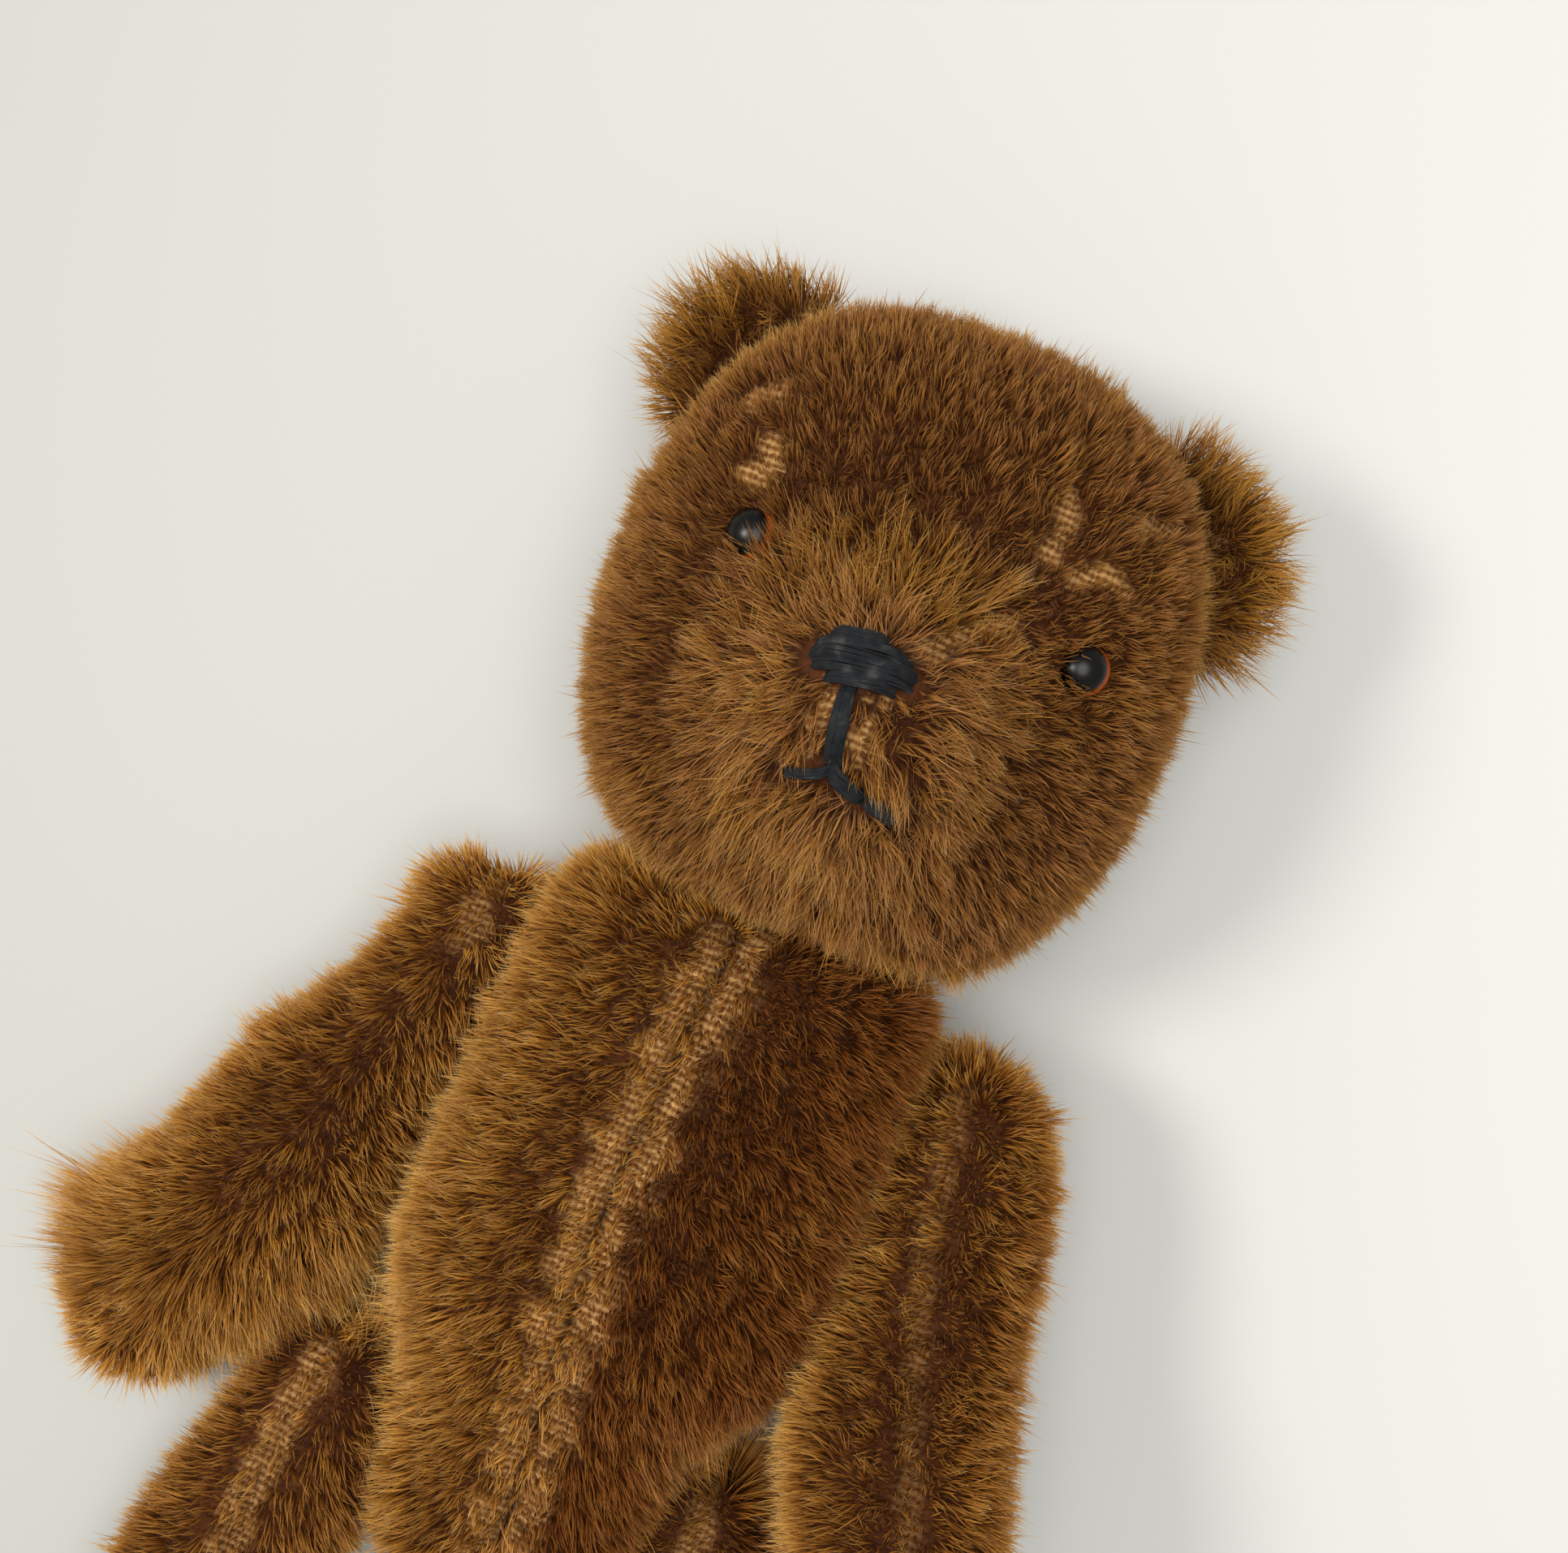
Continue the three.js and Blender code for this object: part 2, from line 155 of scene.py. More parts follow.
head_pile_material = make_pile_material(
    "mohair_pile_brown_faded_grey",
    [(0, "432611"), (0.4, "7e4d24"), (0.8, "a86d36"), (1, "cfa268")],
    [(0, "50300e"), (0.4, "98621d"), (0.8, "ca9136"), (1, "f2d592")],
)
body_pile_material = make_pile_material(
    "mohair_pile_brown_faded_gold",
    [(0, "331504"), (0.4, "6f3a0f"), (0.8, "9b5920"), (1, "c88c45")],
    [(0, "57320e"), (0.4, "b87626"), (0.8, "e8ae4e"), (1, "fde6b2")],
)

# %% [markdown]
# ## Woven backing
# Under the pile is a plain cotton weave. Where the bear was handled and along its seams the pile
# is gone and the tan weave shows, with its ribs. Elsewhere the cloth is nearly black: its dark dye,
# with the shadow of the pile painted into its colour as well. An attribute on the cloth, "bare",
# says how threadbare a place is.

# %% Material: cotton backing of the plush
def make_backing_material():
    material, tree, shader = new_material("cotton_backing_woven")
    bare = add(tree, "ShaderNodeAttribute", {"attribute_name": "bare"}).outputs["Fac"]
    line = add(tree, "ShaderNodeAttribute", {"attribute_name": "seam"}).outputs["Fac"]
    place = add(tree, "ShaderNodeTexCoord").outputs["Object"]
    # Weft ribs 0.62 mm apart, crossed by finer warp threads. A Wave Texture's stripe is
    # 2 pi / (20 * scale) metres wide.
    ribs = [
        add(
            tree,
            "ShaderNodeTexWave",
            {"wave_type": "BANDS", "bands_direction": way},
            Vector=place,
            Scale=2 * math.pi / 20 / (pitch * MM),
            Distortion=3.0,
            Detail=3.0,
            Detail_Scale=2.0,
        ).outputs["Fac"]
        for way, pitch in (("Y", 0.62), ("X", 0.5))
    ]
    weave = add(
        tree, "ShaderNodeMix", {"data_type": "FLOAT"}, i0=0.3, i2=ribs[0], i3=ribs[1]
    ).outputs[0]
    patches = add(tree, "ShaderNodeTexNoise", Vector=place, Scale=600.0, Detail=3.0).outputs["Fac"]
    tan = ramp(tree, weave, [(0.1, "845428"), (0.5, "bb864a"), (0.9, "dfb074")])
    worn = add(
        tree, "ShaderNodeMix", {"data_type": "RGBA", "blend_type": "MULTIPLY"},
        i0=0.5, i6=tan, i7=ramp(tree, patches, [(0.3, "8a7a66"), (0.7, "ffffff")]),
    ).outputs[2]
    # Nearly black: the dark dye, with the shade that the pile casts on the cloth painted in.
    dyed_with_painted_pile_shade = ramp(tree, patches, [(0.3, "3c1d0b"), (0.7, "5a3014")])
    cloth = add(tree, "ShaderNodeMix", {"data_type": "RGBA"}, i0=bare, i6=dyed_with_painted_pile_shade, i7=worn).outputs[2]
    colour = add(
        tree, "ShaderNodeMix", {"data_type": "RGBA"}, i0=line, i6=cloth, i7=dye("241006")
    ).outputs[2]
    bump = add(tree, "ShaderNodeBump", Strength=0.8, Distance=0.12 * MM, Height=weave)
    tree.links.new(colour, shader.inputs["Base Color"])
    tree.links.new(bump.outputs["Normal"], shader.inputs["Normal"])
    shader.inputs["Roughness"].default_value = 0.9
    shader.inputs["Specular IOR Level"].default_value = 0.2
    return material


backing_material = make_backing_material()

# %% [markdown]
# ## Seams and bare places
# The covers are sewn inside out and closed with a seam down the front. The pile there was caught in
# the stitches or rubbed away. Each seam is a row of places, and each bare patch is a place with its
# radius. They are used twice: to pull the cloth in and paint it, and to thin the pile.

# %% Seams and bare patches, in millimetres from the neck
SEAMS = {
    "head": [
        ((2.2, 20.4), (4.5, 22.4), (7.2, 24.6)),  # the muzzle's seam, right beside the nose
        ((8.0, 30.4), (8.4, 32.2), (8.0, 34.8)),  # brows, where fingers rubbed
        ((10.6, 29.2), (12.2, 30.3), (14.0, 30.2)),
        ((-13.6, 27.4), (-12.0, 28.6), (-12.8, 30.4)),
        ((13.6, 35.0), (15.0, 35.4), (16.6, 36.6)),  # below the ears
        ((-15.4, 33.0), (-13.8, 34.4)),
    ],
    "body": [((-1.5, 2), (-3, -14.4), (-3.5, -25.3), (-2.4, -37.5), (-1.5, -50.6), (-2, -60))],
    "arm_left": [((18, -8), (19.7, -20), (22.5, -30), (25.2, -38), (26.6, -46))],
    "arm_right": [((-20.6, -6), (-20.8, -11)), ((-34.5, -47), (-36.5, -50.5))],
    "leg_left": [((12, -44), (13.4, -60), (16, -80), (17.5, -92))],
    "leg_right": [
        ((-17.4, -41), (-18.4, -43.5), (-19.6, -47.5), (-20.4, -54), (-20.6, -61), (-22, -90)),
    ],
}
# Half the width of the bare band, in mm.
SEAM_HALF = {
    "head": 1.0, "body": 2.9, "arm_left": 0.9, "arm_right": 1.3, "leg_left": 1.2, "leg_right": 1.4,
}
SEAM_OPEN = {"body": 1.0, "leg_right": 0.35}  # how dark and deep the line of stitches looks
# How bare each seam is: along the left arm's seam the pile is only a little thinner.
SEAM_WORN = {"arm_left": 0.35, "arm_right": 0.6, "leg_right": 0.75, "leg_left": 0.6, "body": 0.85}
PATCHES = {
    # place across, place along, radius across, radius along, how bare
    "head": [
        (-1.4, 23.2, 0.7, 1.5, 0.8),  # the bridge
        (0.6, 13.9, 0.95, 2.5, 1.0),  # both sides of the upright mouth stitch
        (-2.5, 13.9, 0.8, 2.2, 1.0),
    ],
    "ear_right": [(-14.6, 40.0, 0.6, 2.4, 0.9), (-17.6, 37.2, 1.3, 0.9, 0.7)],
    "ear_left": [(20.2, 37.6, 1.5, 0.6, 0.5)],
}
# The seams and patches are on the side that faces up: above these heights.
TOP_SIDE = {
    "body": 14, "arm_left": 16, "arm_right": 8, "leg_left": 7, "leg_right": 7,
    "head": 20, "ear_left": 16, "ear_right": 16,
}
# Embroidery keeps the pile off: a path of places, and how far round it the cloth is clear.
EMBROIDERY = [
    ([(-3.7, 17.3), (1.6, 18.0)], 1.1),
    ([(-1.5, 16.7), (-0.4, 10.4)], 0.4),
    ([(-0.2, 10.7), (-3.6, 9.4)], 0.3),
    ([(-0.7, 10.9), (2.4, 9.7), (5.2, 9.4)], 0.4),
]
EYES = {"left": (13.5, 23.9), "right": (-11.7, 24.0)}


def path_distance(path, places):
    """How far each place is from a path, seen from above."""
    best = np.full(len(places), 1e3)
    for a, b in zip(np.array(path[:-1], float), np.array(path[1:], float)):
        step = b - a
        t = np.clip((places[:, :2] - a) @ step / (step @ step), 0, 1)
        best = np.minimum(best, np.linalg.norm(places[:, :2] - a - t[:, None] * step, axis=1))
    return best


def seam_distance(part, places):
    """How far each place is from the nearest seam of its part, across the top side."""
    best = np.full(len(places), 1e3)
    for path in SEAMS.get(part, []):
        best = np.minimum(best, path_distance(path, places))
    return np.where(places[:, 2] > TOP_SIDE[part], best, 1e3)


def embroidery_clear(places, margin):
    """1 where the embroidery lies, falling to 0 over the margin outside it."""
    clear = np.zeros(len(places))
    for path, reach in EMBROIDERY:
        clear = np.maximum(clear, 1 - ease(path_distance(path, places), reach, reach + margin))
    return np.where(places[:, 2] > 28, clear, 0)


def eye_clear(places):
    """1 in the eye sockets, where the pile was snipped short."""
    clear = np.zeros(len(places))
    for x, y in EYES.values():
        clear = np.maximum(clear, 1 - ease(np.hypot(places[:, 0] - x, places[:, 1] - y), 1.0, 1.9))
    return np.where(places[:, 2] > 24, clear, 0)


def bareness(part, places):
    """How threadbare each place is, from 0 to 1."""
    half = SEAM_HALF.get(part, 1)
    away = seam_distance(part, places) + 0.25 * half * wobble(places, 2.6, 11)
    bare = SEAM_WORN.get(part, 1) * (1 - ease(away, half * 0.55, half * 1.2))
    for x, y, across, along, share in PATCHES.get(part, []):
        reach = np.hypot((places[:, 0] - x) / across, (places[:, 1] - y) / along)
        patch = share * (1 - ease(reach + 0.55 * wobble(places, 1.1, 12), 0.55, 1.0))
        bare = np.maximum(bare, np.where(places[:, 2] > TOP_SIDE[part], patch, 0))
    return bare


def wobble(places, pitch, seed):
    """Smooth pseudo-random numbers from about -1 to 1 that change over about `pitch` mm."""
    draw = np.random.default_rng(seed)
    total = np.zeros(len(places))
    for _ in range(6):
        way = unit(draw.normal(size=3)) * 2 * math.pi / (pitch * draw.uniform(0.7, 1.6))
        total += np.sin(places @ way + draw.uniform(0, 2 * math.pi))
    return total / 2.4


# %% [markdown]
# ## Cloth covers
# A stuffed cover is a sewn skin that its filling pushes out, so it is made the way it is in life.
# The outside of the CAD cover is taken a little smaller, cut into even cloth by a voxel remesh, and
# blown up by a cloth simulation with its seams pinned. Cloth settings suit things the size of a
# cushion, so each cover is simulated at ten times its size. One subdivision then smooths it.

# %% Cloth covers: the outer skin
VOXEL = 1.35 * MM
SHRINK = 0.5 * MM  # smaller start, so that the swollen cover ends where its solid is
SWELL = 0.75 * MM  # the most that the cloth may move
SIM_SCALE = 10
SIM_STEPS = 12


def new_object(name, mesh):
    thing = bpy.data.objects.new(name, mesh)
    bpy.context.scene.collection.objects.link(thing)
    return thing


def apply_modifiers(thing):
    """Turns what the modifiers show into the object's own mesh."""
    shown = thing.evaluated_get(bpy.context.evaluated_depsgraph_get())
    mesh = bpy.data.meshes.new_from_object(shown)
    thing.modifiers.clear()
    thing.data = mesh


def mesh_places(mesh):
    values = np.empty(len(mesh.vertices) * 3, np.float32)
    mesh.vertices.foreach_get("co", values)
    return values.reshape(-1, 3).astype(float)


def put_places(mesh, places):
    mesh.vertices.foreach_set("co", places.astype(np.float32).ravel())
    mesh.update()


def mesh_normals(mesh):
    values = np.empty(len(mesh.vertices) * 3, np.float32)
    mesh.vertex_normals.foreach_get("vector", values)
    return values.reshape(-1, 3).astype(float)


def faces_inwards(face, near):
    """True on the inner wall of a cover: its stuffing lies on the side that the face looks to."""
    centre = face.calc_center_median()
    place = near.find_nearest(centre)[0]
    return (place - centre).dot(face.normal) > 0


def outer_skin(name, cover, core):
    """The outside of a CAD cover. The inner wall, which faces the core, is cut away."""
    bm = bmesh.new()
    bm.from_mesh(frame["nodes"][cover].data)
    bmesh.ops.remove_doubles(bm, verts=bm.verts, dist=1e-6)
    if core:
        filling = bmesh.new()
        filling.from_mesh(frame["nodes"][core].data)
        near = BVHTree.FromBMesh(filling)
        filling.free()
        inner = [face for face in bm.faces if faces_inwards(face, near)]
        bmesh.ops.delete(bm, geom=inner, context="FACES")
        bmesh.ops.holes_fill(bm, edges=[e for e in bm.edges if e.is_boundary], sides=0)
    bmesh.ops.triangulate(bm, faces=bm.faces)
    bmesh.ops.recalc_face_normals(bm, faces=bm.faces)
    print(name, "open edges:", sum(edge.is_boundary for edge in bm.edges))
    mesh = bpy.data.meshes.new(name)
    bm.to_mesh(mesh)
    bm.free()
    return new_object(name, mesh)


# %% Cloth covers: remesh, swell and seams
def swell(thing, pinned):
    """Blows the cover up as cloth with its seams held, and caps how far it moves."""
    start = mesh_places(thing.data)
    middle = start.mean(axis=0)
    put_places(thing.data, (start - middle) * SIM_SCALE)
    held = thing.vertex_groups.new(name="seams")
    held.add([int(i) for i in np.flatnonzero(pinned)], 1.0, "REPLACE")
    cloth = thing.modifiers.new("cloth", "CLOTH")
    cloth.settings.effector_weights.gravity = 0
    cloth.settings.use_pressure = True
    cloth.settings.uniform_pressure_force = 4
    cloth.settings.vertex_group_mass = "seams"
    cloth.settings.quality = 4
    cloth.collision_settings.use_collision = False
    for step in range(1, SIM_STEPS + 1):
        bpy.context.scene.frame_set(step)
    apply_modifiers(thing)
    bpy.context.scene.frame_set(1)
    thing.vertex_groups.clear()
    moved = mesh_places(thing.data) / SIM_SCALE + middle - start
    size = np.linalg.norm(moved, axis=1, keepdims=True)
    moved *= np.minimum(1, SWELL / np.maximum(size, 1e-12))
    put_places(thing.data, start + moved)
    return float(size.max())


def add_attribute(mesh, name, values):
    layer = mesh.attributes.new(name, "FLOAT", "POINT")
    layer.data.foreach_set("value", np.asarray(values, np.float32))


def sew_cover(name, part, body, cover, core):
    """Makes one cover's skin, swells it, pulls in its seams and says how bare it is."""
    skin = outer_skin(name, cover, core)
    remesh = skin.modifiers.new("even cloth", "REMESH")
    remesh.mode = "VOXEL"
    remesh.voxel_size = VOXEL
    smooth = skin.modifiers.new("smooth", "SMOOTH")
    smooth.iterations = 4
    apply_modifiers(skin)
    mesh = skin.data
    put_places(mesh, mesh_places(mesh) - mesh_normals(mesh) * SHRINK)
    pinned = seam_distance(part, from_frame(mesh_places(mesh))) < 1.2
    print(name, "cloth moved, mm:", round(swell(skin, pinned) / MM, 2))
    finer = skin.modifiers.new("finer cloth", "SUBSURF")
    finer.levels = finer.render_levels = 1
    apply_modifiers(skin)
    mesh = skin.data
    places = from_frame(mesh_places(mesh))
    away = seam_distance(part, places)
    bare = bareness(part, places)
    pull = (0.2 + 0.6 * SEAM_OPEN.get(part, 0)) * np.exp(-((away / 0.9) ** 2)) + 0.3 * bare
    moved = mesh_places(mesh) - mesh_normals(mesh) * (pull * MM)[:, None]
    moved[:, 2] = np.maximum(moved[:, 2], 0.05 * MM)
    put_places(mesh, moved)
    add_attribute(mesh, "bare", bare)
    add_attribute(mesh, "seam", SEAM_OPEN.get(part, 0) * np.exp(-((away / 0.45) ** 2)))
    mesh.shade_smooth()
    mesh.materials.clear()
    mesh.materials.append(backing_material)
    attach(skin, body)
    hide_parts(cover)
    print(name, len(mesh.polygons), "faces")
    return skin


# %% Sew the head, the body and the limbs
FILL = {
    "body": 0.5, "head": 0.7,
    "arm_left": 0.6, "arm_right": 0.6, "leg_left": 0.6, "leg_right": 0.6,
}
skins = {}
for part, fill in FILL.items():
    skins[part] = sew_cover(f"{part}_skin", part, part, f"{part}_cover", f"{part}_stuffing")

# %% [markdown]
# ## Ears
# Each ear is a half round of plush, cupped and sewn on along its straight edge. It has no stuffing,
# so its skin is the CAD ear itself, remeshed finely enough to keep its thin rim.

# %% Ears
for side in ("left", "right"):
    ear = outer_skin(f"ear_{side}_skin", f"ear_{side}", None)
    remesh = ear.modifiers.new("even cloth", "REMESH")
    remesh.mode = "VOXEL"
    remesh.voxel_size = 0.6 * MM
    smooth = ear.modifiers.new("smooth", "SMOOTH")
    smooth.iterations = 3
    apply_modifiers(ear)
    add_attribute(ear.data, "bare", bareness(f"ear_{side}", from_frame(mesh_places(ear.data))))
    add_attribute(ear.data, "seam", np.zeros(len(ear.data.vertices)))
    ear.data.shade_smooth()
    ear.data.materials.clear()
    ear.data.materials.append(backing_material)
    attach(ear, "head")
    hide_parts(f"ear_{side}")
    skins[f"ear_{side}"] = ear
    print(ear.name, len(ear.data.polygons), "faces")

# %% [markdown]
# ## One strand of pile
# Real mohair has tens of hairs to a square millimetre. Each strand here stands for a small lock of
# them: a flat blade with a bend in the middle and a point. It is made once, from a grid whose far
# edge is merged to a point, and then placed many thousands of times. Three triangles are enough.

# %% One strand
def make_blade():
    """Across and along of each vertex of one blade, and its faces' vertices."""
    bm = bmesh.new()
    bmesh.ops.create_grid(bm, x_segments=1, y_segments=2, size=0.5)
    far = [v for v in bm.verts if v.co.y > 0.4]
    bmesh.ops.pointmerge(bm, verts=far, merge_co=(0, 0.5, 0))
    bm.verts.index_update()
    shape = np.array([(v.co.x, v.co.y + 0.5) for v in bm.verts])
    faces = [[v.index for v in f.verts] for f in bm.faces]
    bm.free()
    return shape, faces


BLADE, BLADE_FACES = make_blade()
print("one strand:", len(BLADE), "vertices,", len(BLADE_FACES), "faces")

# %% [markdown]
# ## Planting the pile
# Roots are scattered over the cloth in proportion to its area, more where the pile is dense. Each
# strand leaves along the cloth's normal, leans the way the pile was brushed and bends a little more
# towards its tip. At rest it keeps out of the next part: a strand that would reach a neighbour's
# cloth is cut short.

# %% Measuring the cloth and the room beside it
def surface_of(thing):
    """Triangles of a mesh: corner places in mm, corner normals and areas."""
    mesh = thing.data
    mesh.calc_loop_triangles()
    corners = np.empty(len(mesh.loop_triangles) * 3, np.int32)
    mesh.loop_triangles.foreach_get("vertices", corners)
    corners = corners.reshape(-1, 3)
    places = from_frame(mesh_places(mesh))[corners]
    area = np.linalg.norm(
        np.cross(places[:, 1] - places[:, 0], places[:, 2] - places[:, 0]), axis=1
    )
    return places, mesh_normals(mesh)[corners], area / 2


def tree_of(things):
    """One search tree over several objects, in metres in the frame."""
    bm = bmesh.new()
    for thing in things:
        bm.from_mesh(thing.data)
    made = BVHTree.FromBMesh(bm)
    bm.free()
    return made


def room_for(roots, ways, lengths, neighbours):
    """Lengths cut so that strands stop short of the neighbours' cloth."""
    if not neighbours:
        return lengths
    near = tree_of(neighbours)
    cut = lengths.copy()
    starts = to_frame(roots)
    for i, (start, way, length) in enumerate(zip(starts, ways, lengths)):
        hit = near.ray_cast(Vector(start), Vector(way), float(length) * 1.3 * MM)[3]
        if hit is not None:
            cut[i] = max(0.0, hit / MM * 0.75)
    return cut


# %% Building the strands
def build_strands(name, material, roots, ways, bends, sides, lengths, widths, tones):
    """One mesh of blades. Each blade goes up its way for half its length and then bends over."""
    count = len(roots)
    across, along = BLADE[:, 0], BLADE[:, 1]
    lift = ways[:, None] * along[None, :, None] + bends[:, None] * (along**2)[None, :, None]
    taper = 1 - 0.35 * along
    spread = sides[:, None] * (across * taper)[None, :, None] * widths[:, None, None]
    places = roots[:, None] + lift * lengths[:, None, None] + spread
    places[..., 2] = np.maximum(places[..., 2], 0.04 + 0.02 * along[None, :])
    mesh = bpy.data.meshes.new(name)
    mesh.vertices.add(count * len(BLADE))
    mesh.vertices.foreach_set("co", to_frame(places.reshape(-1, 3)).astype(np.float32).ravel())
    corners = np.concatenate([np.array(face) for face in BLADE_FACES])
    loops = (np.arange(count)[:, None] * len(BLADE) + corners[None]).ravel()
    sizes = np.array([len(face) for face in BLADE_FACES])
    starts = np.concatenate([[0], np.cumsum(np.tile(sizes, count))[:-1]])
    mesh.loops.add(len(loops))
    mesh.loops.foreach_set("vertex_index", loops.astype(np.int32))
    mesh.polygons.add(len(starts))
    mesh.polygons.foreach_set("loop_start", starts.astype(np.int32))
    mesh.update(calc_edges=True)
    layer = mesh.uv_layers.new(name="OFBake")
    tone = np.clip(tones, 0.03, 0.97)[:, None] + across[corners][None] * 0.004
    height = np.broadcast_to(0.02 + 0.96 * along[corners][None], tone.shape)
    layer.data.foreach_set("uv", np.stack([tone, height], -1).astype(np.float32).ravel())
    mesh.materials.append(material)
    mesh.shade_smooth()
    return new_object(name, mesh)


# %% Planting the pile
TUFT_PITCH = 1.5  # mm from one tuft to the next
STRAY_SHARE = 0.025  # strands that stand out of the pile
STRAY_LENGTH = 1.45  # how much longer they are
SHORTEST = 0.25  # mm; shorter strands are left out


def tufts(roots, pitch, seed):
    """Which tuft each root belongs to, and the way from the root to the tuft's middle, in mm."""
    bend = np.column_stack([wobble(roots, 2 * pitch, seed + k) for k in (6, 7, 8)])
    bent = roots + 0.6 * pitch * bend
    cells = np.floor(bent / pitch).astype(int)
    which = np.unique(cells, axis=0, return_inverse=True)[1].ravel()
    middle = np.column_stack([np.bincount(which, roots[:, k]) for k in range(3)])
    middle = middle / np.bincount(which)[:, None]
    return which, middle[which] - roots


def plant(name, body, skin, part, field, per_mm2, seed, neighbours=(), keep=None):
    """Covers a skin, or the part of it that keep allows, with pile."""
    draw = np.random.default_rng(seed)
    corners, normals, area = surface_of(skin)
    middle = corners.mean(axis=1)
    weight = area * field(part, middle, normals[:, 0])["dense"]
    if keep is not None:
        weight = weight * keep(middle)
    count = int(weight.sum() * per_mm2)
    chosen = draw.choice(len(area), size=count, p=weight / weight.sum())
    mix = draw.dirichlet((1, 1, 1), size=count)
    roots = (corners[chosen] * mix[..., None]).sum(axis=1)
    up = unit((normals[chosen] * mix[..., None]).sum(axis=1))
    look = field(part, roots, up)
    comb = look["comb"] - (look["comb"] * up).sum(axis=1, keepdims=True) * up
    comb = unit(comb + 0.2 * unit(draw.normal(size=(count, 3))))
    # Neighbouring strands sway together, and the ends of a tuft meet in one point.
    which, to_middle = tufts(roots, TUFT_PITCH, seed)
    luck = draw.normal(0, 1, (which.max() + 1, 5))[which]
    sway = np.column_stack([wobble(roots, 2.0, seed + k) for k in (3, 4, 5)]) + 0.5 * luck[:, 2:]
    lean = look["lean"] * (1 + 0.25 * wobble(roots, 2.5, seed + 1)) + draw.normal(0, 0.08, count)
    ways = unit(up + comb * lean[:, None] + sway * look["tuft"][:, None])
    ways = unit(ways + draw.normal(0, 0.11, (count, 3)))
    lengths = look["length"] * draw.uniform(0.75, 1.12, count) * (1 + 0.15 * luck[:, 0])
    stray = draw.random(count) < STRAY_SHARE
    lengths = np.where(stray, lengths * STRAY_LENGTH, lengths)
    lengths = room_for(roots + up * 0.05, ways, lengths, neighbours)
    bends = comb * (look["bend"] * draw.uniform(0.4, 1.6, count))[:, None]
    bends += to_middle * (look["gather"] / np.maximum(lengths, 0.8))[:, None]
    sides = unit(np.cross(ways, unit(up + 0.9 * draw.normal(size=(count, 3)))))
    tones = look["tone"] + 0.1 * wobble(roots, 2.2, seed + 2) + draw.normal(0, 0.1, count)
    tones += 0.15 * look["gather"] * luck[:, 1] + 0.3 * stray
    widths = look["width"] * draw.uniform(0.7, 1.3, count)
    kept = lengths > SHORTEST
    parts = [values[kept] for values in (roots, ways, bends, sides, lengths, widths, tones)]
    material = head_pile_material if body == "head" else body_pile_material
    thing = build_strands(name, material, *parts)
    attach(thing, body)
    print(name, int(kept.sum()), "strands,", int(kept.sum()) * 3, "triangles")


# %% [markdown]
# ## How the pile lies
# On the head the pile is brushed away from the nose in every direction, longest under the chin. On
# the body and limbs it falls away from the front seam and towards the feet. It stands almost
# upright, so from above the eye looks down into dark roots, and at every edge it sees golden tips.
# The tone is also raised where the cloth faces sideways, at those edges: painted rim light.

# %% Pile of the head
NOSE_TIP = np.array((-0.9, 17.0, 34.0))


def facing(up):
    """Fewer strands underneath, where the bear lies on the table."""
    return 0.4 + 0.6 * ease(up[:, 2], -0.75, -0.2)


def head_pile(part, places, up):
    x, y, z = places.T
    away = places - NOSE_TIP
    flat = np.hypot(away[:, 0], away[:, 1])
    muzzle = (1 - ease(flat, 9.0, 13.0)) * ease(z, 23, 28)
    chin = ease(-away[:, 1], 4.5, 8.5) * (1 - ease(np.abs(x - 0.5), 7, 11)) * ease(z, 24, 29)
    bridge = ease(away[:, 1], 3, 6) * (1 - ease(np.abs(x + 0.5), 5, 9)) * muzzle
    jaw = (1 - ease(y, 3, 8)) * ease(x, -6, 4)
    crown = ease(y, 24, 29) * (1 - muzzle)
    bare = bareness(part, places)
    clear = embroidery_clear(places, 0.65)
    press = np.maximum(embroidery_clear(places, 2.2), eye_clear(places))
    # Where the cloth faces sideways, at the edges seen from above, the tone is raised: painted rim
    # light.
    rim = ease(1 - np.abs(up[:, 2]), 0.45, 1)
    patchy = 0.09 * wobble(places, 7.0, 13)
    comb = away * (1, 1, 0.25)
    comb = unit(comb) * (1 - crown)[:, None] + np.array((0.0, 1.0, 0.0)) * crown[:, None]
    shadow = ease(y, 24, 26) * (1 - ease(y, 27, 30)) * (1 - ease(np.abs(x), 8, 12)) * (1 - muzzle)
    return {
        "comb": unit(comb),
        "lean": 0.08 + 0.32 * muzzle + 0.3 * chin + 0.2 * jaw + 0.2 * bare,
        "tuft": 0.1 + 0.4 * muzzle + 0.15 * chin + 0.12 * jaw,
        "length": (2.1 + 0.4 * muzzle + 1.2 * chin + 0.6 * bridge + 0.6 * jaw - 0.2 * crown)
        * (1 - 0.65 * bare) * (1 - 0.6 * press),
        "bend": 0.08 + 0.2 * muzzle,
        "gather": 0.4 + 0.5 * np.maximum(muzzle, jaw),
        "tone": 0.14 + 0.16 * muzzle + 0.08 * chin + 0.25 * bridge + 0.3 * bare + 0.6 * rim
        - 0.1 * press - 0.12 * shadow + patchy,
        "width": 0.1 + 0.01 * muzzle,
        "dense": (1 - 0.8 * bare) * (1 - clear) * facing(up),
    }


# %% Pile of the body and the limbs
BODY_COMB = {"left": (0.55, -0.85, 0), "right": (-0.93, -0.38, 0)}
# Where the pile parts, as a place across at the shoulder and how much it shifts down the part;
# and how golden the two sides of that line are. On the body the side towards the window lamp is
# painted golden and the other side dark: painted light and shade.
PARTING = {
    "body": (-2.5, 0.0, 0.6, -0.05),
    "arm_left": (20.5, -0.16, 0.5, 0.38),
    "arm_right": (-21.5, 0.3, 0.55, 0.55),
    "leg_left": (13.0, 0.0, 0.28, 0.35),
    "leg_right": (-18.0, 0.06, 0.35, 0.35),
}


